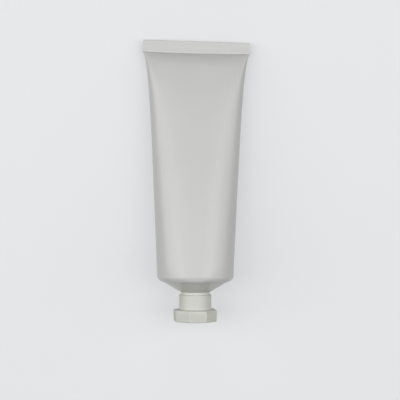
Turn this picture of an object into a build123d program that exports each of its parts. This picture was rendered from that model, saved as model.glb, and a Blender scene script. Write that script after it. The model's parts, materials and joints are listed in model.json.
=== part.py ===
"""Squeeze tube of hand cream, lying on its back, in millimetres.

A round thin-walled plastic sleeve is pressed flat and welded shut at one end. At the other
it is turned in over a moulded head, with a sloping shoulder and a nozzle neck. A cap with an
eight-sided foot screws on the neck, and a soft liner disc in it seals the nozzle's lip.

The pieces are drawn about the tube's own axis, which is Y: the seal is towards +Y, the cap
towards -Y and the front faces +Z, with Y = 0 where the round sleeve meets the shoulder's
corner. A reach is a place along that axis. place() then lays the tube on its back: the
shoulder's corner and the soft back touch the floor at Z = 0, and the cap is a little raised.
Last, the whole tube is moved so that the middle of its footprint is over the origin.
"""
import os
from math import atan, cos, degrees, exp, pi, radians, sin, sqrt, tan, tanh

from build123d import *

# Sleeve
sleeve_diameter = 35.0
sleeve_length = 101.8
sleeve_wall = 0.5
corner_radius = 2.8
corner_start = 0.3
corner_turn = 67.0
corner_spare = 8.0

# How the sleeve opens from the seal: its sides draw in and its faces swell out
side_flare = 2.05
side_flare_length = 11.9
edge_flare = 0.7
edge_flare_length = 0.9
belly = 4.4
belly_length = 5.0
crease = 0.7
crease_length = 1.2

# The flattened band down the front and back, as half widths
seal_flat = 20.2
seal_flat_length = 31.0
lower_flat = 3.7
lower_flat_fade = 3.0
flat_softness = 0.32

# Seal band
seal_width = 49.7
seal_height = 5.1
seal_thickness = 0.9
seal_spread = 0.12
seal_step = 0.1
seal_narrowing = 0.35
seal_skew = 1.2
trim_skew = 1.9

# Head
head_wall = 1.2
rim_depth = 2.0
rim_wall = 0.9
rim_lead = 0.3
land_slope = 23.0
land_width = 1.9
shoulder_slope = 30.5
neck_ring_diameter = 13.4
neck_ring_height = 1.2
neck_diameter = 10.6
neck_height = 9.9
neck_chamfer = 0.4
neck_wall = 1.4
nozzle_plate = 1.2
nozzle_diameter = 4.4
nozzle_dip = 0.5

# Cap
cap_diameter = 14.8
cap_bore_diameter = 12.3
cap_roof = 1.6
mouth_chamfer = 0.3
foot_across_corners = 20.6
foot_height = 5.4
foot_chamfer = 0.5
foot_turn = 14.0
liner_thickness = 0.8

# Clearances between pieces
weld_gap = 0.1
cap_gap = 0.1
liner_gap = 0.35
cream_gap = 0.15

# How far the soft back sags to lie flat, and how far the hard corner beds in
back_sag = 0.5
sag_span = 60.0
corner_bedding = 0.05

# How finely the sleeve's sections are drawn, and where its solids start from the seal
oval_points = 40
bays = 18
corner_bays = 5
buried_start = 0.15
cavity_start = 0.5
cream_start = 0.9

round_radius = sleeve_diameter / 2
side_rise = seal_width / 2 - seal_spread - side_flare - edge_flare - round_radius
side_taper = side_rise / sleeve_length
back_rise = belly * (1 - exp(-sleeve_length / belly_length)) + crease
seal_depth = seal_thickness / 2 - seal_step
back_taper = (round_radius - seal_depth - back_rise) / sleeve_length
rest_tilt = atan(back_taper) + atan(back_sag / sag_span)
rest_lift = round_radius * cos(rest_tilt) - corner_bedding


def corner(radius, angle):
    """Point on an arc about the shoulder corner's centre, as radius and reach."""
    centre = round_radius - corner_radius
    return centre + radius * cos(radians(angle)), -corner_start - radius * sin(radians(angle))


# Head: the seat under the turned-in sleeve, then the points down the shoulder to the lip
seat_radius = corner_radius - sleeve_wall - weld_gap
seat = corner(seat_radius, corner_turn)
seat_end = (
    seat[0] - weld_gap * sin(radians(corner_turn)),
    seat[1] - weld_gap * cos(radians(corner_turn)),
)
land = (
    seat_end[0] + (sleeve_wall + weld_gap) * cos(radians(corner_turn)),
    seat_end[1] - (sleeve_wall + weld_gap) * sin(radians(corner_turn)),
)
ledge = (land[0] - land_width, land[1] - land_width * tan(radians(land_slope)))
shoulder_fall = tan(radians(shoulder_slope))
ring_radius = neck_ring_diameter / 2
neck_radius = neck_diameter / 2
bore_radius = neck_radius - neck_wall
nozzle_radius = nozzle_diameter / 2
rim_radius = round_radius - sleeve_wall - weld_gap
rim_bore = rim_radius - rim_lead - rim_wall
ring_foot = ledge[1] - (ledge[0] - ring_radius) * shoulder_fall
neck_foot = ring_foot - neck_ring_height
lip = neck_foot - neck_height
plate = lip + nozzle_plate

# Cap: its mouth stops just short of the neck's ring, and its roof holds the liner
cap_radius = cap_diameter / 2
cap_bore = cap_bore_diameter / 2
mouth = neck_foot - cap_gap
roof = lip - liner_thickness
cap_end = roof - cap_roof


def half_width(s):
    """Half the sleeve's width, s millimetres from the seal's lower edge."""
    flare = side_flare * exp(-s / side_flare_length) + edge_flare * exp(-s / edge_flare_length)
    return round_radius + side_taper * (sleeve_length - s) + flare


def half_depth(s):
    """Half the sleeve's depth, front to back."""
    swell = belly * (1 - exp(-s / belly_length)) + crease * (1 - exp(-s / crease_length))
    return seal_depth + swell + back_taper * s


def depth_slope(s):
    """How steeply the front face rises along the tube."""
    swell = belly / belly_length * exp(-s / belly_length)
    return back_taper + swell + crease / crease_length * exp(-s / crease_length)


def half_flat(s):
    """Half the width of the flattened band, which fades out at the round end."""
    fade = 1 - exp(-(sleeve_length - s) / lower_flat_fade)
    return seal_flat * exp(-s / seal_flat_length) * fade + lower_flat * fade


def oval(width, depth, flat, reach, lean):
    """Face across the sleeve: an ellipse whose middle is stretched into a soft flat band.

    Its half sizes are width and depth, and it leans with the seal's skew. Every oval is
    drawn from the middle of the back at the same steps, so that a loft runs evenly.
    """
    points = []
    for step in range(oval_points):
        turn = 2 * pi * step / oval_points - pi / 2
        soft = tanh(cos(turn) / flat_softness) / tanh(1 / flat_softness)
        x = (width - flat) * cos(turn) + flat * soft
        points.append((x, reach - lean * x, depth * sin(turn)))
    steps = [step / oval_points for step in range(oval_points + 1)]
    return Face(Wire([Edge.make_spline(points, periodic=True, parameters=steps)]))


def section(s, inset):
    """The sleeve's section s millimetres from the seal, drawn in by an inset square to it."""
    outside = half_width(max(s, 0))
    width = outside - inset
    depth = half_depth(s) - inset * sqrt(1 + depth_slope(s) ** 2)
    lean = tan(radians(seal_skew)) * (1 - s / sleeve_length) ** 2
    return oval(width, depth, half_flat(s) * width / outside, sleeve_length - s, lean)


def sections(start, end, inset):
    """Sections between two distances from the seal, closest together at both ends."""
    half_span = (end - start) / 2
    places = [start + half_span * (1 - cos(pi * step / bays)) for step in range(bays + 1)]
    return [section(s, inset) for s in places]


def sleeve_form(start, inset):
    """The sleeve's solid form from the seal to just past the edge of its turned-in end."""
    stack = sections(start, sleeve_length, inset)
    for step in range(corner_bays + 1):
        turn = (corner_turn + corner_spare) * step / corner_bays
        radius, reach = corner(corner_radius - inset, turn)
        stack.append(oval(radius, radius, 0, reach, 0))
    return loft(stack)


def turned(*points):
    """Solid of revolution about the tube's axis, from an outline of radius and reach."""
    return revolve(make_face(Polyline(*points, close=True)), Axis.Y)


def place(shape):
    """Lay a piece on its back: tilt it about X and lift it to the floor."""
    return Pos(0, 0, rest_lift) * Rot(X=-degrees(rest_tilt)) * shape


def over_floor(shape, height):
    """The part of a laid piece that is above a height."""
    size = 4 * sleeve_length
    return shape & Pos(0, 0, height + size / 2) * Box(size, size, size)


def seal_band():
    """The welded band: two walls pressed into one, trimmed a little askew."""
    half = seal_width / 2
    lower = half * tan(radians(seal_skew))
    upper = half * tan(radians(trim_skew))
    outline = Polyline(
        (-half, sleeve_length + lower),
        (half, sleeve_length - lower),
        (half - seal_narrowing, sleeve_length + seal_height - upper),
        (seal_narrowing - half, sleeve_length + seal_height + upper),
        close=True,
    )
    return extrude(make_face(outline), seal_thickness / 2, both=True)


def make_sleeve():
    """Thin sleeve, hollow from the seal to its turned-in edge, with a flat under its back."""
    outer = over_floor(place(sleeve_form(-buried_start, 0) + seal_band()), 0)
    hollow = over_floor(place(sleeve_form(cavity_start, sleeve_wall)), sleeve_wall)
    edge = corner(corner_radius, corner_turn)
    inner_edge = corner(corner_radius - sleeve_wall, corner_turn)
    slope = (edge[0] - inner_edge[0]) / (edge[1] - inner_edge[1])
    opening = turned(
        (0, inner_edge[1] + sleeve_wall),
        (inner_edge[0] + slope * sleeve_wall, inner_edge[1] + sleeve_wall),
        (edge[0] - slope * sleeve_wall, edge[1] - sleeve_wall),
        (0, edge[1] - sleeve_wall),
    )
    return outer - hollow - place(opening)


def make_head():
    """Moulded shoulder with a rim in the sleeve, and a neck that a nozzle plate closes."""
    inside = ledge[1] + head_wall / cos(radians(shoulder_slope))
    outline = Polyline(
        corner(seat_radius, 0),
        (rim_radius - rim_lead, rim_depth),
        (rim_bore, rim_depth),
        (rim_bore, inside + (rim_bore - ledge[0]) * shoulder_fall),
        (bore_radius, inside - (ledge[0] - bore_radius) * shoulder_fall),
        (bore_radius, plate),
        (nozzle_radius, plate),
        (nozzle_radius, lip),
        (neck_radius - neck_chamfer, lip),
        (neck_radius, lip + neck_chamfer),
        (neck_radius, neck_foot),
        (ring_radius, neck_foot),
        (ring_radius, ring_foot),
        ledge,
        land,
        seat_end,
        seat,
    )
    bend = ThreePointArc(seat, corner(seat_radius, corner_turn / 2), corner(seat_radius, 0))
    return place(revolve(make_face(outline + bend), Axis.Y))


def make_cap():
    """Round skirt over the neck, and an eight-sided foot with chamfered edges."""
    skirt = turned(
        (0, mouth),
        (cap_radius - mouth_chamfer, mouth),
        (cap_radius, mouth - mouth_chamfer),
        (cap_radius, cap_end + foot_height / 2),
        (0, cap_end + foot_height / 2),
    )
    outline = Plane.XZ.offset(-cap_end - foot_height) * RegularPolygon(
        foot_across_corners / 2, 8, rotation=foot_turn
    )
    foot = extrude(outline, foot_height)
    ends = foot.faces().sort_by(Axis.Y)
    foot = chamfer(ends[0].edges() + ends[-1].edges(), foot_chamfer)
    bore = turned(
        (0, roof),
        (cap_bore, roof),
        (cap_bore, mouth - mouth_chamfer),
        (cap_bore + 2 * mouth_chamfer, mouth + mouth_chamfer),
        (0, mouth + mouth_chamfer),
    )
    return place(skirt + foot - bore)


def make_liner():
    """Soft disc in the cap's roof, pressed on the nozzle's lip."""
    radius = cap_bore - liner_gap
    return place(turned((0, lip), (radius, lip), (radius, roof), (0, roof)))


def make_cream():
    """The cream fills the sleeve and head, up to just inside the nozzle."""
    inset = sleeve_wall + cream_gap
    level = rim_depth + cream_gap
    body = loft(sections(cream_start, sleeve_length - level, inset))
    inside = ledge[1] + (head_wall + cream_gap) / cos(radians(shoulder_slope))
    fill = turned(
        (0, level + cream_gap),
        (rim_bore - cream_gap, level + cream_gap),
        (rim_bore - cream_gap, inside + (rim_bore - cream_gap - ledge[0]) * shoulder_fall),
        (bore_radius - cream_gap, inside - (ledge[0] - bore_radius + cream_gap) * shoulder_fall),
        (bore_radius - cream_gap, plate + cream_gap),
        (nozzle_radius - cream_gap, plate + cream_gap),
        (nozzle_radius - cream_gap, lip + nozzle_dip),
        (0, lip + nozzle_dip),
    )
    return over_floor(place(body + fill), inset)


pieces = {
    "tube_sleeve": make_sleeve(),
    "tube_head": make_head(),
    "cream_fill": make_cream(),
    "screw_cap": make_cap(),
    "cap_liner": make_liner(),
}
boxes = [piece.bounding_box() for piece in pieces.values()]
middle_x = (min(box.min.X for box in boxes) + max(box.max.X for box in boxes)) / 2
middle_y = (min(box.min.Y for box in boxes) + max(box.max.Y for box in boxes)) / 2

os.makedirs("parts", exist_ok=True)
for name, piece in pieces.items():
    export_step(Pos(-middle_x, -middle_y, 0) * piece, f"parts/{name}.step")

lip_point = place(Pos(0, lip, 0)).position
print("tilt", round(degrees(rest_tilt), 3))
print("lip", round(lip_point.X - middle_x, 3), round(lip_point.Y - middle_y, 3), round(lip_point.Z, 3))
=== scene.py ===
"""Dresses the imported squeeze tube: a welded plastic sleeve, its moulded head and its cap.

Shapes are worked out in millimetres in the tube's own frame: x across, y along the axis
towards the weld with y = 0 at the shoulder's corner, and z out of the tube's front. They are
turned into the row's frame, in metres, as each mesh is made. A drop is how far a place is
beyond the shoulder's corner, towards the cap's end. s is how far a place on the sleeve is
from the weld's lower edge, the same way.
"""
import json
import math

import bmesh
import bpy
import numpy as np
from mathutils import Matrix


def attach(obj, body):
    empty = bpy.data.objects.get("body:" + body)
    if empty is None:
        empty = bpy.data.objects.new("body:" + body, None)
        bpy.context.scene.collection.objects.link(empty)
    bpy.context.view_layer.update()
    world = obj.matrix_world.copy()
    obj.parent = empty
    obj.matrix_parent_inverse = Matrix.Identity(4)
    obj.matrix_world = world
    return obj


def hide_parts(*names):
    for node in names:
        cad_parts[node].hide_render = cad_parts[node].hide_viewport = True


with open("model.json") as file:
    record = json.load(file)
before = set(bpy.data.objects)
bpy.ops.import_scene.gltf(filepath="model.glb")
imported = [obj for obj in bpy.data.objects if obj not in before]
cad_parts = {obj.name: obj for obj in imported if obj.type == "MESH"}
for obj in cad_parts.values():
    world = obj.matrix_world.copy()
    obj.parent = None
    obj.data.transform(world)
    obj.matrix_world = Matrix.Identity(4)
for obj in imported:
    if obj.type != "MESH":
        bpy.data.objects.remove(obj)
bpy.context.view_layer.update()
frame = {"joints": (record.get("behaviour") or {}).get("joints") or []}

MM = 0.001

# Sleeve, as in the solids; the flat sizes are half widths of the flattened band
ROUND_RADIUS = 17.5
SLEEVE_LENGTH = 101.8
SLEEVE_WALL = 0.5
CORNER_RADIUS, CORNER_START, CORNER_TURN = 2.8, 0.3, 67.0
SIDE_FLARE, SIDE_FLARE_LENGTH = 2.05, 11.9
EDGE_FLARE, EDGE_FLARE_LENGTH = 0.7, 0.9
SEAL_FLAT, SEAL_FLAT_LENGTH = 20.2, 31.0
LOWER_FLAT, LOWER_FLAT_FADE = 3.7, 3.0
FLAT_SOFTNESS = 0.32
SEAL_WIDTH, SEAL_HEIGHT, SEAL_THICKNESS = 49.7, 5.1, 0.9
SEAL_SPREAD, SEAL_STEP, SEAL_NARROWING = 0.12, 0.1, 0.35
SEAL_SKEW = 1.2

# Sleeve, nearer the photograph than in the solids: the swell next to the weld, the crease in
# it, the share of the flattened band left at the round end, and how askew the trimmed edge is
BELLY, BELLY_LENGTH = 5.4, 5.3
CREASE, CREASE_LENGTH = 0.5, 1.0
LOWER_FLAT_LEFT = 0.45
TRIM_SKEW = 1.6

# Sleeve, finer than in the solids: the eased trimmed edge, how far the weld is pressed in
# beside its bead, the bead, how the plate's square edge dies away, the bow of its lower edge,
# and how softly the back is pressed flat
TRIM_EASE = 0.15
WELD_PRESS = 0.02
BEAD_HEIGHT, BEAD_PLACE, BEAD_WIDTH = 0.07, 0.6, 0.35
PLATE_POWER, SQUARE_LENGTH = 0.12, 0.6
WELD_BOW, WELD_BOW_LENGTH = 0.4, 4.0
PRESS_EASE = 0.03

# Where the sleeve's faces, its hollow and the cream start, as s
FACES_START, HOLLOW_START, CREAM_START = 0.1, 0.6, 0.9

# Head and cap, as in the solids
LAND_RADIUS, LAND_DROP = 15.70, 2.91
LEDGE_RADIUS, LEDGE_DROP = 13.80, 3.72
SHOULDER_SLOPE = 30.5
HEAD_WALL, SEAT_GAP = 1.2, 0.1
RIM_RADIUS, RIM_BORE, RIM_DEPTH = 16.6, 15.7, 2.0
RING_RADIUS, RING_HEIGHT = 6.7, 1.2
NECK_RADIUS, NECK_BORE, NECK_HEIGHT = 5.3, 3.9, 9.9
NOZZLE_RADIUS, NOZZLE_PLATE, NOZZLE_DIP = 2.2, 1.2, 0.5
CAP_RADIUS, CAP_BORE, CAP_ROOF, CAP_GAP = 7.4, 6.15, 1.6, 0.1
FOOT_SIDES, FOOT_ACROSS, FOOT_HEIGHT, FOOT_TURN = 8, 20.6, 5.4, 14.0
LINER_THICKNESS, LINER_GAP = 0.8, 0.35
CREAM_GAP = 0.15

# Head, apart from the solids: how far in the land's corner stands, which leaves a fine groove
# inside the sleeve's edge, and how much nearer the ring stands to the cap's mouth
LAND_INSET = 0.14
RING_RISE = 0.07

# Fillets of the head, in the order in which its outline comes to them
LAND_FILLET, LEDGE_FILLET = 0.12, 1.6
RING_ROOT_FILLET, RING_FILLET, NECK_ROOT_FILLET = 0.3, 0.05, 0.25
LIP_FILLET, NOZZLE_FILLET = 0.4, 0.3
PLATE_FILLET, PLATE_ROOT_FILLET = 0.15, 0.3
BORE_FILLET, SHOULDER_FILLET, RIM_FILLET = 0.6, 0.8, 0.15

# Cream: its fillets, and the edge and the level middle of its dome in the nozzle
CREAM_RIM_FILLET, CREAM_BORE_FILLET, CREAM_NECK_FILLET = 0.6, 0.4, 0.2
DOME_EDGE, DOME_MIDDLE = 0.3, 0.8
DOME_EDGE_FILLET, DOME_FILLET = 0.6, 0.4

# Cap and liner: fillets, and the foot's eased edges, its corners, its taper and where the
# ledge above it ends, from the flats. The end closes in rings at shares of the foot's edge
ROOF_FILLET, MOUTH_BORE_FILLET, MOUTH_FILLET, SKIRT_ROOT_FILLET = 0.3, 0.2, 0.1, 0.3
LINER_FILLET = 0.2
FOOT_EASE, FOOT_CORNER, FOOT_TAPER, LEDGE_END = 0.45, 0.45, 0.12, 0.7
END_SHARES = (0.94, 0.85, 0.7, 0.5, 0.3, 0.15, 0.06, 0.0)

# Screw thread, left out of the solids: a ridge on the neck and one in the cap, half a turn
# on. Half its crest and its flank are shares of the lead, and it starts and ends this far
# from the walls' ends. Only places this near to a wall carry it
THREAD_LEAD = 2.5
THREAD_CREST, THREAD_FLANK = 0.1, 0.17
THREAD_RUN_OUT = 0.8
NECK_THREAD_RADIUS, NECK_THREAD_START, NECK_THREAD_END = 6.0, 1.2, 1.0
CAP_THREAD_RADIUS, CAP_THREAD_START, CAP_THREAD_END = 5.5, 0.8, 1.6
HALF_TURN = 0.5
WALL_REACH = 0.02

# How fine the meshes are: columns round, rows along, and the longest steps of the outlines
SLEEVE_COLUMNS, COLUMN_CROWDING = 288, 0.25
TRIM_ROWS, WELD_ROWS, FACE_ROWS, CORNER_ROWS = 6, 29, 160, 12
HOLLOW_ROWS, HOLLOW_CORNER_STEP = 40, 3
SEAT_ROWS, HEAD_COLUMNS = 8, 192
CREAM_ROWS, CREAM_COLUMNS, CREAM_STEP = 60, 96, 1.5
FOOT_EDGE_ROWS, SIDE_COLUMNS = 8, 24
LINER_COLUMNS, LINER_STEP = 96, 0.5
THREAD_STEP = 0.14
ARC_STEPS = 6

# In metres: places nearer than the first are merged, and shorter edges are taken out
MERGE_DISTANCE, SHORT_EDGE = 2e-7, 1e-8

# To how many decimal places a sine is taken, so that the ovals' ends are at zero exactly
SINE_PLACES = 9

# How sharp a bend shows as an edge, in degrees
CREAM_CRISP, LINER_CRISP = 40, 40
SLEEVE_CRISP, HEAD_CRISP, CAP_CRISP = 50, 50, 60

shoulder_fall = math.tan(math.radians(SHOULDER_SLOPE))
ring_foot = LEDGE_DROP + (LEDGE_RADIUS - RING_RADIUS) * shoulder_fall
neck_foot = ring_foot + RING_HEIGHT
lip = neck_foot + NECK_HEIGHT
mouth = neck_foot + CAP_GAP
roof = lip + LINER_THICKNESS
cap_end = roof + CAP_ROOF
foot_top = cap_end - FOOT_HEIGHT
side_turn = 2 * math.pi / FOOT_SIDES

# The tube's frame in the row's, from the joint on the cap's axis
turn_joint = next(joint for joint in frame["joints"] if joint["name"] == "cap_turn")
outward = np.array(turn_joint["axis"])
outward = outward / np.linalg.norm(outward)
along = -outward
across = np.array([1.0, 0.0, 0.0])
front = np.cross(across, along)
lip_point = np.array(turn_joint["pos_m"])


def to_row(points):
    """Millimetres in the tube's frame to metres in the row's."""
    points = np.asarray(points, dtype=float)
    steps = points * MM
    base = lip_point + along * lip * MM
    return base + steps[..., :1] * across + steps[..., 1:2] * along + steps[..., 2:3] * front


def skin(name, grid, material, body, replaced, crisp):
    """A closed mesh from a grid of places, whose columns run round and whose end rows close.

    Places that fall together, as at a pole or where a flat end closes on itself, are merged.
    Bends sharper than the crisp angle show as edges.
    """
    rows, columns = grid.shape[:2]
    row = np.arange(rows - 1)[:, None] * columns
    column = np.arange(columns)[None, :]
    after = (column + 1) % columns
    quads = np.stack(
        [row + column, row + after, row + columns + after, row + columns + column], axis=-1
    ).reshape(-1, 4)
    mesh = bpy.data.meshes.new(name)
    mesh.from_pydata(to_row(grid).reshape(-1, 3).tolist(), [], quads.tolist())
    work = bmesh.new()
    work.from_mesh(mesh)
    bmesh.ops.remove_doubles(work, verts=work.verts, dist=MERGE_DISTANCE)
    bmesh.ops.dissolve_degenerate(work, edges=work.edges, dist=SHORT_EDGE)
    bmesh.ops.recalc_face_normals(work, faces=work.faces)
    work.to_mesh(mesh)
    work.free()
    mesh.shade_smooth()
    mesh.set_sharp_from_angle(angle=math.radians(crisp))
    piece = bpy.data.objects.new(name, mesh)
    bpy.context.scene.collection.objects.link(piece)
    mesh.materials.append(material)
    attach(piece, body)
    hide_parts(*replaced)
    return piece


def rounded(corners):
    """An outline of straight runs with an arc at each inner corner.

    An inner corner is its radius, its drop and the fillet there. The arc's middle lies on the
    line that halves the corner, and the arc sweeps evenly from one run to the other. The two
    end corners are a radius and a drop.
    """
    points = [np.array(corner[:2], dtype=float) for corner in corners]
    fillets = [corner[2] for corner in corners[1:-1]]
    places = [points[0]]
    for before, point, after, fillet in zip(points, points[1:], points[2:], fillets):
        into = (before - point) / np.linalg.norm(before - point)
        out = (after - point) / np.linalg.norm(after - point)
        half = math.acos(np.clip(into @ out, -1, 1)) / 2
        reach = fillet / math.tan(half)
        centre = point + (into + out) / np.linalg.norm(into + out) * fillet / math.sin(half)
        start = point + into * reach - centre
        end = point + out * reach - centre
        sweep = math.acos(np.clip(start @ end / fillet**2, -1, 1))
        part = np.linspace(0, 1, ARC_STEPS + 1)[:, None]
        arc = (np.sin((1 - part) * sweep) * start + np.sin(part * sweep) * end) / math.sin(sweep)
        places.extend(centre + arc)
    places.append(points[-1])
    return np.array(places)


def spaced(outline, spacing):
    """The same outline with long runs divided, so that no step is over the spacing."""
    runs = [outline[:1]]
    for start, end in zip(outline, outline[1:]):
        count = max(1, math.ceil(np.linalg.norm(end - start) / spacing))
        part = np.arange(1, count + 1)[:, None] / count
        runs.append(start + (end - start) * part)
    return np.concatenate(runs)


def about_axis(radius, drop, turns):
    """Places at a radius and a drop, turned about the axis from the tube's front towards x."""
    return np.stack([radius * np.sin(turns), 0 * radius - drop, radius * np.cos(turns)], axis=-1)


def swept(outline, turns, change=None):
    """A grid swept about the axis from an outline of radius and drop; change adds to radius."""
    radius = outline[:, :1] + 0 * turns
    drop = outline[:, 1:] + 0 * turns
    if change is not None:
        radius = radius + change(radius, drop, turns)
    return about_axis(radius, drop, turns)


def smooth(value):
    """Zero to one with a level start and end."""
    value = np.clip(value, 0, 1)
    return value * value * (3 - 2 * value)


def thread(wall, crest, start, end, shift=0.0):
    """A change of radius that raises a screw ridge on the wall of the given radius only.

    The ridge is a helix whose drop grows by one lead a turn: it stands where drop / lead plus
    turn / full turn, plus the shift, is a whole number, and it runs in and out at its ends.
    Turning the cap by the right-hand rule about the outward axis moves it outwards, and the
    turns run the other way round the axis.
    """
    def change(radius, drop, turns):
        """The ridge's height there, which is zero off the wall."""
        phase = drop / THREAD_LEAD + turns / (2 * math.pi) + shift
        off = np.abs(phase - np.round(phase))
        height = smooth((THREAD_CREST + THREAD_FLANK - off) / THREAD_FLANK)
        run_in = smooth((drop - start) / THREAD_RUN_OUT)
        run_out = smooth((end - drop) / THREAD_RUN_OUT)
        on_wall = np.abs(radius - wall) < WALL_REACH
        return np.where(on_wall, height * (run_in * run_out), 0) * (crest - wall)

    return change


def pressed(grid, level):
    """The same grid with its back pressed flat, softly, at the level, in millimetres.

    What lies under the level is lifted to it, straight up from the floor. The lift is half
    the sum of the height over the level and its softened size, less that height. The
    softened size is the root of its square plus the ease's square.
    """
    over = to_row(grid)[..., 2] - level * MM
    ease = PRESS_EASE * MM
    lift = 0.5 * (over + np.sqrt(over**2 + ease**2)) - over
    return grid + lift[..., None] / MM * np.array([0.0, along[2], front[2]])


# Sleeve


def half_width(s):
    """Half the sleeve's width: a straight taper, with two flares that die away from the weld."""
    start = SEAL_WIDTH / 2 - SEAL_SPREAD - SIDE_FLARE - EDGE_FLARE
    taper = (start - ROUND_RADIUS) / SLEEVE_LENGTH
    side = SIDE_FLARE * np.exp(-s / SIDE_FLARE_LENGTH)
    edge = EDGE_FLARE * np.exp(-s / EDGE_FLARE_LENGTH)
    return ROUND_RADIUS + taper * (SLEEVE_LENGTH - s) + (side + edge)


def half_depth(s):
    """Half the sleeve's depth: a swell near the weld, then a straight rise to the round end."""
    seal_depth = SEAL_THICKNESS / 2 - SEAL_STEP
    rise = BELLY * (1 - math.exp(-SLEEVE_LENGTH / BELLY_LENGTH)) + CREASE
    taper = (ROUND_RADIUS - seal_depth - rise) / SLEEVE_LENGTH
    swell = BELLY * (1 - np.exp(-s / BELLY_LENGTH)) + CREASE * (1 - np.exp(-s / CREASE_LENGTH))
    return seal_depth + swell + taper * s


def half_flat(s):
    """Half the flattened band's width, which narrows from the weld and half fades at the end."""
    fade = 1 - (1 - LOWER_FLAT_LEFT) * np.exp(-(SLEEVE_LENGTH - s) / LOWER_FLAT_FADE)
    return (SEAL_FLAT * np.exp(-s / SEAL_FLAT_LENGTH) + LOWER_FLAT) * fade


def banded(reach, flat, turns):
    """How far across an oval's places are: a round's cosine, with a flat band in its middle.

    The band's share is a hyperbolic tangent of the cosine, which goes over softly.
    """
    soft = np.tanh(np.cos(turns) / FLAT_SOFTNESS) / math.tanh(1 / FLAT_SOFTNESS)
    return (reach - flat) * np.cos(turns) + flat * soft


def squared(turns, power):
    """The height round an oval: a sine for power 1, and a plate's square edge for power 0."""
    height = np.round(np.sin(turns), SINE_PLACES)
    return np.sign(height) * np.abs(height) ** power


def bow(x):
    """How far the weld's lower edge hangs down across its middle, as a parabola."""
    return WELD_BOW * (1 - (2 * x / SEAL_WIDTH) ** 2)


def sleeve_rows(start, end, count, turns, inset, square=0.0):
    """Ovals across the sleeve, whose half width, depth and flat band go with s.

    The rows crowd at both ends, as the cosine of a half turn does. The inset is taken square
    to the faces, by their slope. Next to the weld the ends of the ovals are squared by the
    given share, which dies away, and so do the rows' skew and bow.
    """
    s = start + (end - start) * (1 - np.cos(np.linspace(0, np.pi, count))) / 2
    s = s[:, None]
    slope = np.gradient(half_depth(s[:, 0]), s[:, 0])[:, None]
    outside = half_width(s)
    width = outside - inset
    depth = half_depth(s) - inset * np.sqrt(1 + slope**2)
    x = banded(width, half_flat(s) * width / outside, turns)
    z = depth * squared(turns, 1 - square * np.exp(-s / SQUARE_LENGTH))
    y = SLEEVE_LENGTH - s - math.tan(math.radians(SEAL_SKEW)) * (1 - s / SLEEVE_LENGTH) ** 2 * x
    y = y - bow(x) * np.exp(-s / WELD_BOW_LENGTH)
    return np.stack([x, y, z + 0 * x], axis=-1)


def corner_rows(radius, angles, turns):
    """Rows round the turned-in corner, an arc of the given radius about its centre.

    The flattened band dies away in them, so that the last row is round, as the head is.
    """
    fade = np.cos(np.radians(90 / CORNER_TURN * angles))[:, None] ** 2
    angles = np.radians(angles)[:, None]
    reach = ROUND_RADIUS - CORNER_RADIUS + radius * np.cos(angles)
    drop = CORNER_START + radius * np.sin(angles)
    x = banded(reach, half_flat(SLEEVE_LENGTH) * fade, turns)
    return np.stack([x, -drop + 0 * turns, reach * np.sin(turns)], axis=-1)


def weld_rows(turns):
    """The welded band from its trimmed edge down: a thin plate with eased edges.

    It narrows and its rows turn askew towards the trimmed edge, evenly with the height. A
    bead squeezed out by the weld, a bell curve, runs along it just above its lower edge.
    """
    arc = np.linspace(0, np.pi / 2, TRIM_ROWS)
    ease_end = SEAL_HEIGHT - TRIM_EASE
    height = np.concatenate([
        [SEAL_HEIGHT],
        SEAL_HEIGHT - TRIM_EASE * (1 - np.cos(arc)),
        np.linspace(ease_end, FACES_START, WELD_ROWS + 1)[1:],
    ])[:, None]
    inset = np.concatenate([
        [TRIM_EASE],
        TRIM_EASE * (1 - np.sin(arc)),
        np.zeros(WELD_ROWS),
    ])[:, None]
    bead = BEAD_HEIGHT * np.exp(-(((height - BEAD_PLACE) / BEAD_WIDTH) ** 2))
    half = SEAL_THICKNESS / 2 - WELD_PRESS - inset + bead
    half[0] = 0
    share = height / SEAL_HEIGHT
    x = banded(SEAL_WIDTH / 2 - SEAL_NARROWING * share - inset, SEAL_FLAT, turns)
    skew = np.tan(np.radians(SEAL_SKEW + (TRIM_SKEW - SEAL_SKEW) * share))
    y = SLEEVE_LENGTH + height - skew * x - bow(x) * (1 - share) ** 2
    return np.stack([x, y, half * squared(turns, PLATE_POWER)], axis=-1)


def make_sleeve(material):
    """Outer skin from the trimmed edge to the turned-in end, then back up the inside.

    The turns crowd towards the ovals' ends by a sine of twice the turn. The inside closes in
    a flat row under the weld.
    """
    step = np.linspace(0, 2 * np.pi, SLEEVE_COLUMNS, endpoint=False)
    turns = step + COLUMN_CROWDING * np.sin(2 * step)
    edge = np.linspace(0, CORNER_TURN, CORNER_ROWS)
    outer = np.concatenate([
        weld_rows(turns),
        sleeve_rows(FACES_START, SLEEVE_LENGTH, FACE_ROWS, turns, 0, 1 - PLATE_POWER),
        corner_rows(CORNER_RADIUS, edge, turns),
    ])
    inner = np.concatenate([
        corner_rows(CORNER_RADIUS - SLEEVE_WALL, edge[::-HOLLOW_CORNER_STEP], turns),
        sleeve_rows(HOLLOW_START, SLEEVE_LENGTH, HOLLOW_ROWS, turns, SLEEVE_WALL)[::-1],
    ])
    last = inner[-1].copy()
    last[:, 2] = 0
    grid = np.concatenate([outer, inner, last[None]])
    level = np.zeros((len(grid), 1))
    level[len(outer):] = SLEEVE_WALL
    grid = pressed(grid, level)
    return skin("sleeve", grid, material, "tube", ["tube_sleeve"], SLEEVE_CRISP)


# Head, cream, cap and liner


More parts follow.
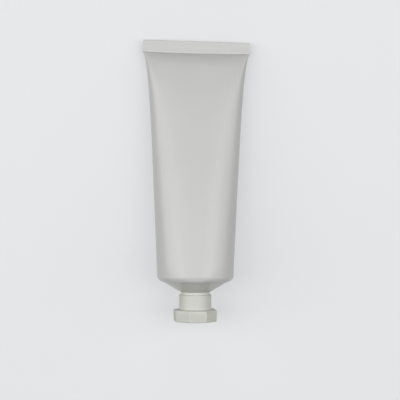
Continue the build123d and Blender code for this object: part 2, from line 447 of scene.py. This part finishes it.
def make_head(material):
    """Shoulder, neck ring, threaded neck and nozzle plate, swept from one closed outline.

    The outline goes from the sleeve's edge out to the lip, in through the nozzle, back up
    the inside to the rim, and round the seat of the sleeve's corner, which is an arc.
    """
    inside = LEDGE_DROP - HEAD_WALL / math.cos(math.radians(SHOULDER_SLOPE))
    seat_radius = CORNER_RADIUS - SLEEVE_WALL - SEAT_GAP
    angles = np.radians(np.linspace(0, CORNER_TURN, SEAT_ROWS))
    seat = np.stack([
        ROUND_RADIUS - CORNER_RADIUS + seat_radius * np.cos(angles),
        CORNER_START + seat_radius * np.sin(angles),
    ], axis=-1)
    outside = rounded([
        seat[-1],
        (LAND_RADIUS - LAND_INSET, LAND_DROP, LAND_FILLET),
        (LEDGE_RADIUS, LEDGE_DROP, LEDGE_FILLET),
        (RING_RADIUS, ring_foot, RING_ROOT_FILLET),
        (RING_RADIUS, neck_foot + RING_RISE, RING_FILLET),
        (NECK_RADIUS, neck_foot + RING_RISE, NECK_ROOT_FILLET),
        (NECK_RADIUS, lip, LIP_FILLET),
        (NOZZLE_RADIUS, lip, NOZZLE_FILLET),
        (NOZZLE_RADIUS, lip - NOZZLE_PLATE, PLATE_FILLET),
        (NECK_BORE, lip - NOZZLE_PLATE, PLATE_ROOT_FILLET),
        (NECK_BORE, inside + (LEDGE_RADIUS - NECK_BORE) * shoulder_fall, BORE_FILLET),
        (RIM_BORE, inside + (LEDGE_RADIUS - RIM_BORE) * shoulder_fall, SHOULDER_FILLET),
        (RIM_BORE, -RIM_DEPTH, RIM_FILLET),
        (RIM_RADIUS, -RIM_DEPTH, RIM_FILLET),
        seat[0],
    ])
    outline = spaced(np.concatenate([outside, seat[1:]]), THREAD_STEP)
    turns = np.linspace(0, 2 * np.pi, HEAD_COLUMNS, endpoint=False)
    ridge = thread(
        NECK_RADIUS, NECK_THREAD_RADIUS, neck_foot + NECK_THREAD_START, lip - NECK_THREAD_END
    )
    grid = swept(outline, turns, ridge)
    return skin("head", grid, material, "tube", ["tube_head"], HEAD_CRISP)


def make_cream(material):
    """The contents: what fills the sleeve, head and bore, with a small dome in the nozzle.

    The part in the sleeve is made of its ovals, set in by the wall and a gap, and the rest is
    swept from an outline. Its turns are from the side, as the ovals' are.
    """
    turns = np.linspace(0, 2 * np.pi, CREAM_COLUMNS, endpoint=False)
    inset = SLEEVE_WALL + CREAM_GAP
    end = SLEEVE_LENGTH - RIM_DEPTH - CREAM_GAP
    body = sleeve_rows(CREAM_START, end, CREAM_ROWS, turns, inset)
    first = body[0].copy()
    first[:, 2] = 0
    inside = LEDGE_DROP - (HEAD_WALL + CREAM_GAP) / math.cos(math.radians(SHOULDER_SLOPE))
    rim = RIM_BORE - CREAM_GAP
    bore = NECK_BORE - CREAM_GAP
    nozzle = NOZZLE_RADIUS - CREAM_GAP
    plate = lip - NOZZLE_PLATE - CREAM_GAP
    dome = lip - NOZZLE_DIP
    neck = rounded([
        (rim, -RIM_DEPTH - CREAM_GAP),
        (rim, inside + (LEDGE_RADIUS - rim) * shoulder_fall, CREAM_RIM_FILLET),
        (bore, inside + (LEDGE_RADIUS - bore) * shoulder_fall, CREAM_BORE_FILLET),
        (bore, plate, CREAM_NECK_FILLET),
        (nozzle, plate, CREAM_NECK_FILLET),
        (nozzle, dome - DOME_EDGE, DOME_EDGE_FILLET),
        (DOME_MIDDLE, dome, DOME_FILLET),
        (0, dome),
    ])
    below = swept(spaced(neck, CREAM_STEP), np.pi / 2 - turns)
    grid = pressed(np.concatenate([first[None], body, below]), inset)
    return skin("cream", grid, material, "tube", ["cream_fill"], CREAM_CRISP)


def octagon(turns, apothem):
    """Radius of the foot's regular octagon with rounded corners, one at the foot's turn.

    Near a corner it is an arc about a middle on the corner's own line, and elsewhere the
    apothem over the cosine of the turn from the side's middle.
    """
    corner = -math.radians(FOOT_TURN)
    off = np.abs((turns - corner + side_turn / 2) % side_turn - side_turn / 2)
    flat = apothem / np.cos(side_turn / 2 - off)
    centre = (apothem - FOOT_CORNER) / math.cos(side_turn / 2)
    under = np.maximum(FOOT_CORNER**2 - (centre * np.sin(off)) ** 2, 0)
    arc = centre * np.cos(off) + np.sqrt(under)
    met = np.arctan((apothem - FOOT_CORNER) * math.tan(side_turn / 2) / apothem)
    return np.where(off < side_turn / 2 - met, arc, flat)


def make_cap(material):
    """Cap: bore with its thread, mouth, skirt, ledge, eight-sided foot and end, in one skin.

    The inside and the skirt are swept from an outline. The foot's rows are octagons, set in
    round its two eased edges, and the end is rings that shrink to its middle. The columns
    crowd at the corners, as a sine does at its ends.
    """
    side = side_turn / 2 * np.sin(np.linspace(-np.pi / 2, np.pi / 2, SIDE_COLUMNS + 1)[:-1])
    turns = (np.arange(FOOT_SIDES)[:, None] * side_turn + side).ravel()
    turns = turns + side_turn / 2 - math.radians(FOOT_TURN)
    apothem = FOOT_ACROSS / 2 * math.cos(side_turn / 2)
    outline = rounded([
        (0, roof),
        (CAP_BORE, roof, ROOF_FILLET),
        (CAP_BORE, mouth, MOUTH_BORE_FILLET),
        (CAP_RADIUS, mouth, MOUTH_FILLET),
        (CAP_RADIUS, foot_top, SKIRT_ROOT_FILLET),
        (apothem - LEDGE_END, foot_top),
    ])
    ridge = thread(
        CAP_BORE, CAP_THREAD_RADIUS, mouth + CAP_THREAD_START, roof - CAP_THREAD_END, HALF_TURN
    )
    skirt = swept(spaced(outline, THREAD_STEP), turns, ridge)

    angles = np.radians(np.linspace(90, 0, FOOT_EDGE_ROWS))[:, None]
    inset = FOOT_EASE * (1 - np.cos(angles))
    rise = FOOT_EASE * (1 - np.sin(angles))
    inset = np.concatenate([inset, inset[::-1]])
    drop = np.concatenate([foot_top + rise, cap_end - rise[::-1]])
    taper = FOOT_TAPER * (drop - foot_top) / FOOT_HEIGHT
    radius = octagon(turns, apothem - inset - taper)
    foot = about_axis(radius, drop, turns)
    end = about_axis(radius[-1] * np.array(END_SHARES)[:, None], cap_end, turns)
    grid = np.concatenate([skirt, foot, end])
    return skin("cap", grid, material, "cap", ["screw_cap"], CAP_CRISP)


def make_liner(material):
    """Foam disc between the nozzle's lip and the cap's roof, swept, with eased edges."""
    radius = CAP_BORE - LINER_GAP
    outline = rounded([
        (0, lip),
        (radius, lip, LINER_FILLET),
        (radius, roof, LINER_FILLET),
        (0, roof),
    ])
    turns = np.linspace(0, 2 * np.pi, LINER_COLUMNS, endpoint=False)
    grid = swept(spaced(outline, LINER_STEP), turns)
    return skin("liner", grid, material, "liner", ["cap_liner"], LINER_CRISP)


# Materials


# What all the plastics share: their gloss, how uneven their tone and roughness are, and the
# height of their moulded skin. A noise is its scale and its detail
PLASTIC_SPECULAR, PLASTIC_IOR = 0.5, 1.5
BROAD_NOISE, FINE_NOISE = (60, 3), (900, 2)
TONE_LOW, TONE_HIGH = 0.975, 1.02
ROUGHNESS_SPREAD = 0.04
SKIN_HEIGHT = 0.1 * MM

# How much rougher the foot's faces are than the cap's skirt, and how soon they become so
MATT_FOOT = 0.25
MATT_BLEND = 0.2 * MM


def noise(tree, place, scale, detail):
    """Soft noise on the piece's own coordinates, from 0 to 1."""
    node = tree.nodes.new("ShaderNodeTexNoise")
    node.inputs["Scale"].default_value = scale
    node.inputs["Detail"].default_value = detail
    tree.links.new(place.outputs["Object"], node.inputs["Vector"])
    return node.outputs["Fac"]


def ranged(tree, value, start, end, low=0.0, high=1.0, way="LINEAR"):
    """A value carried over from start and end to low and high, and held beyond them."""
    node = tree.nodes.new("ShaderNodeMapRange")
    node.interpolation_type = way
    node.inputs["From Min"].default_value = start
    node.inputs["From Max"].default_value = end
    node.inputs["To Min"].default_value = low
    node.inputs["To Max"].default_value = high
    tree.links.new(value, node.inputs["Value"])
    return node.outputs["Result"]


def combined(tree, operation, first, second):
    """Two values put together by a sum, the larger of them, or another way."""
    node = tree.nodes.new("ShaderNodeMath")
    node.operation = operation
    tree.links.new(first, node.inputs[0])
    tree.links.new(second, node.inputs[1])
    return node.outputs["Value"]


def mixed(tree, share, first, second):
    """A colour between two, by a share; each is a plain colour or what a node gives."""
    mix = tree.nodes.new("ShaderNodeMix")
    mix.data_type = "RGBA"
    for socket, colour in (("A", first), ("B", second)):
        if isinstance(colour, tuple):
            mix.inputs[socket].default_value = colour
        else:
            tree.links.new(colour, mix.inputs[socket])
    tree.links.new(share, mix.inputs["Factor"])
    return mix.outputs["Result"]


def plastic(name, tone, roughness, skin_strength, matt_end=None):
    """White plastic: a faint uneven tone, a soft sheen and a fine moulded skin.

    Past the place matt_end along the row's Y axis, towards the cap's end, it is matt. The
    cream and the liner's foam are made the same way.
    """
    material = bpy.data.materials.new(name)
    material.use_nodes = True
    tree = material.node_tree
    shader = tree.nodes["Principled BSDF"]
    shader.inputs["Specular IOR Level"].default_value = PLASTIC_SPECULAR
    shader.inputs["IOR"].default_value = PLASTIC_IOR
    place = tree.nodes.new("ShaderNodeTexCoord")
    broad = noise(tree, place, *BROAD_NOISE)
    darker = tuple(value * TONE_LOW for value in tone) + (1,)
    lighter = tuple(value * TONE_HIGH for value in tone) + (1,)
    tree.links.new(mixed(tree, broad, darker, lighter), shader.inputs["Base Color"])
    least = roughness - ROUGHNESS_SPREAD
    most = roughness + ROUGHNESS_SPREAD
    rough = ranged(tree, broad, 0.0, 1.0, least, most)
    if matt_end is not None:
        split = tree.nodes.new("ShaderNodeSeparateXYZ")
        tree.links.new(place.outputs["Object"], split.inputs["Vector"])
        skirt_end = matt_end + MATT_BLEND
        foot_start = matt_end - MATT_BLEND
        matt = ranged(tree, split.outputs["Y"], skirt_end, foot_start, 0.0, MATT_FOOT)
        rough = combined(tree, "ADD", rough, matt)
    tree.links.new(rough, shader.inputs["Roughness"])
    bump = tree.nodes.new("ShaderNodeBump")
    bump.inputs["Strength"].default_value = skin_strength
    bump.inputs["Distance"].default_value = SKIN_HEIGHT
    tree.links.new(noise(tree, place, *FINE_NOISE), bump.inputs["Height"])
    tree.links.new(bump.outputs["Normal"], shader.inputs["Normal"])
    return material


foot_place = to_row([0.0, -foot_top, 0.0])[1]
sleeve_plastic = plastic(
    "sleeve_plastic", tone=(0.56, 0.56, 0.55), roughness=0.3, skin_strength=0.1
)
head_plastic = plastic(
    "head_plastic", tone=(0.56, 0.565, 0.518), roughness=0.24, skin_strength=0.1
)
cap_plastic = plastic(
    "cap_plastic", tone=(0.562, 0.568, 0.52), roughness=0.33, skin_strength=0.2,
    matt_end=foot_place,
)
cream_finish = plastic(
    "cream_finish", tone=(0.80, 0.77, 0.70), roughness=0.3, skin_strength=0.1
)
liner_foam = plastic(
    "liner_foam", tone=(0.75, 0.75, 0.74), roughness=0.7, skin_strength=0.6
)

sleeve = make_sleeve(sleeve_plastic)
head = make_head(head_plastic)
cream = make_cream(cream_finish)
cap = make_cap(cap_plastic)
liner = make_liner(liner_foam)


# Floor, light and camera


# Floor, in metres and linear tones: its colour and the glow that is added where it is seen,
# the colour with which it throws light back, the tone that it and the background have far
# off, and the distances between which it goes over to that
FLOOR_REACH = 4.0
FLOOR_ROUGHNESS = 0.8
FLOOR_COLOUR = (0.42, 0.425, 0.43, 1)
FLOOR_GLOW = (0.40, 0.405, 0.41, 1)
FLOOR_BOUNCE = (0.15, 0.15, 0.15, 1)
FAR_TONE = (0.76, 0.765, 0.77, 1)
DARK = (0, 0, 0, 1)
FADE_START, FADE_END = 0.12, 0.45

# An arch of panels over the tube, by degrees round from its front, and four beyond its ends,
# by direction in the tube's frame, each with its power in watts. Panels are in metres, and
# face a place in the tube in millimetres
ARCH_LAMPS = ((-78, 1.4), (-52, 2.1), (-26, 2.4), (0, 1.75), (26, 2.6), (52, 1.45), (78, 1.0))
END_LAMPS = (
    ("seal_left_light", (-0.93, 0.45, 0.2), 1.05),
    ("seal_middle_light", (0.0, 0.7, 0.7), 0.6),
    ("seal_right_light", (0.93, 0.45, 0.2), 1.05),
    ("cap_light", (0.0, -0.97, 0.25), 1.2),
)
LAMP_DISTANCE = 1.0
LAMP_WIDTH, LAMP_HEIGHT = 0.45, 0.5
LIT_PLACE = (0.0, 45.0, 0.0)

# Camera: its distance, the place that it faces and the width that it shows there, all in
# millimetres, its roll in degrees, and its clip distances in metres
CAMERA_DISTANCE = 587.0
CAMERA_AIM = (2.0, 34.23, 0.0)
SHOWN_WIDTH = 183.5
CAMERA_ROLL = 0.26
CLIP_START, CLIP_END = 0.01, 20


def seen_colour(tree, unseen, seen):
    """A colour for what the camera, a gloss or a clear piece sees, and one for thrown light."""
    rays = tree.nodes.new("ShaderNodeLightPath")
    share = rays.outputs["Is Camera Ray"]
    for ray in ("Is Glossy Ray", "Is Transmission Ray"):
        share = combined(tree, "MAXIMUM", share, rays.outputs[ray])
    return mixed(tree, share, unseen, seen)


def make_floor():
    """A plain pale floor where the tube lies, which throws back less light than it shows.

    Round the tube it takes light and shadow, and further out it fades to the background's
    tone, smoothly with the distance from the origin.
    """
    mesh = bpy.data.meshes.new("floor")
    corners = [
        (-FLOOR_REACH, -FLOOR_REACH, 0),
        (FLOOR_REACH, -FLOOR_REACH, 0),
        (FLOOR_REACH, FLOOR_REACH, 0),
        (-FLOOR_REACH, FLOOR_REACH, 0),
    ]
    mesh.from_pydata(corners, [], [(0, 1, 2, 3)])
    material = bpy.data.materials.new("floor")
    material.use_nodes = True
    tree = material.node_tree
    shader = tree.nodes["Principled BSDF"]
    shader.inputs["Roughness"].default_value = FLOOR_ROUGHNESS
    shader.inputs["Specular IOR Level"].default_value = 0.0
    shader.inputs["Emission Strength"].default_value = 1.0
    place = tree.nodes.new("ShaderNodeTexCoord")
    reach = tree.nodes.new("ShaderNodeVectorMath")
    reach.operation = "LENGTH"
    tree.links.new(place.outputs["Object"], reach.inputs[0])
    fade = ranged(tree, reach.outputs["Value"], FADE_START, FADE_END, way="SMOOTHSTEP")
    tone = mixed(tree, fade, FLOOR_COLOUR, DARK)
    glow = mixed(tree, fade, FLOOR_GLOW, FAR_TONE)
    tree.links.new(seen_colour(tree, FLOOR_BOUNCE, tone), shader.inputs["Base Color"])
    tree.links.new(seen_colour(tree, DARK, glow), shader.inputs["Emission Color"])
    mesh.materials.append(material)
    floor = bpy.data.objects.new("floor", mesh)
    bpy.context.scene.collection.objects.link(floor)


def make_background():
    """A pale background that is seen, and mirrored in gloss, but lights nothing itself."""
    world = bpy.data.worlds.new("studio")
    world.use_nodes = True
    tree = world.node_tree
    tree.links.new(seen_colour(tree, DARK, FAR_TONE), tree.nodes["Background"].inputs["Color"])
    bpy.context.scene.world = world


def soft_light(name, direction, power):
    """A soft panel in the given direction from the tube's middle, which it faces squarely."""
    light = bpy.data.lights.new(name, "AREA")
    light.shape = "RECTANGLE"
    light.size = LAMP_WIDTH
    light.size_y = LAMP_HEIGHT
    light.energy = power
    lamp = bpy.data.objects.new(name, light)
    bpy.context.scene.collection.objects.link(lamp)
    direction = np.array(direction, dtype=float)
    direction = direction / np.linalg.norm(direction)
    back = direction[0] * across + direction[1] * along + direction[2] * front
    side = np.cross(along, back)
    side = side / np.linalg.norm(side)
    facing = Matrix(np.stack([side, np.cross(back, side), back], axis=1).tolist()).to_4x4()
    place = to_row(LIT_PLACE) + back * LAMP_DISTANCE
    lamp.matrix_world = Matrix.Translation(place.tolist()) @ facing


def make_camera():
    """The photo's view: square to the tube's axis, from far off, a little turned."""
    data = bpy.data.cameras.new("camera")
    data.sensor_fit = "HORIZONTAL"
    data.angle = 2 * math.atan(SHOWN_WIDTH / 2 / CAMERA_DISTANCE)
    data.clip_start = CLIP_START
    data.clip_end = CLIP_END
    camera = bpy.data.objects.new("camera", data)
    bpy.context.scene.collection.objects.link(camera)
    roll = math.radians(CAMERA_ROLL)
    right = across * math.cos(roll) + along * math.sin(roll)
    up = along * math.cos(roll) - across * math.sin(roll)
    facing = Matrix(np.stack([right, up, front], axis=1).tolist()).to_4x4()
    place = to_row(np.array(CAMERA_AIM) + np.array([0.0, 0.0, CAMERA_DISTANCE]))
    camera.matrix_world = Matrix.Translation(place.tolist()) @ facing
    bpy.context.scene.camera = camera


make_floor()
make_background()
for azimuth, power in ARCH_LAMPS:
    turn = math.radians(azimuth)
    soft_light(f"arch_light_{azimuth % 360}", (math.sin(turn), 0.0, math.cos(turn)), power)
for name, direction, power in END_LAMPS:
    soft_light(name, direction, power)
make_camera()

bpy.context.scene.view_settings.view_transform = "Standard"
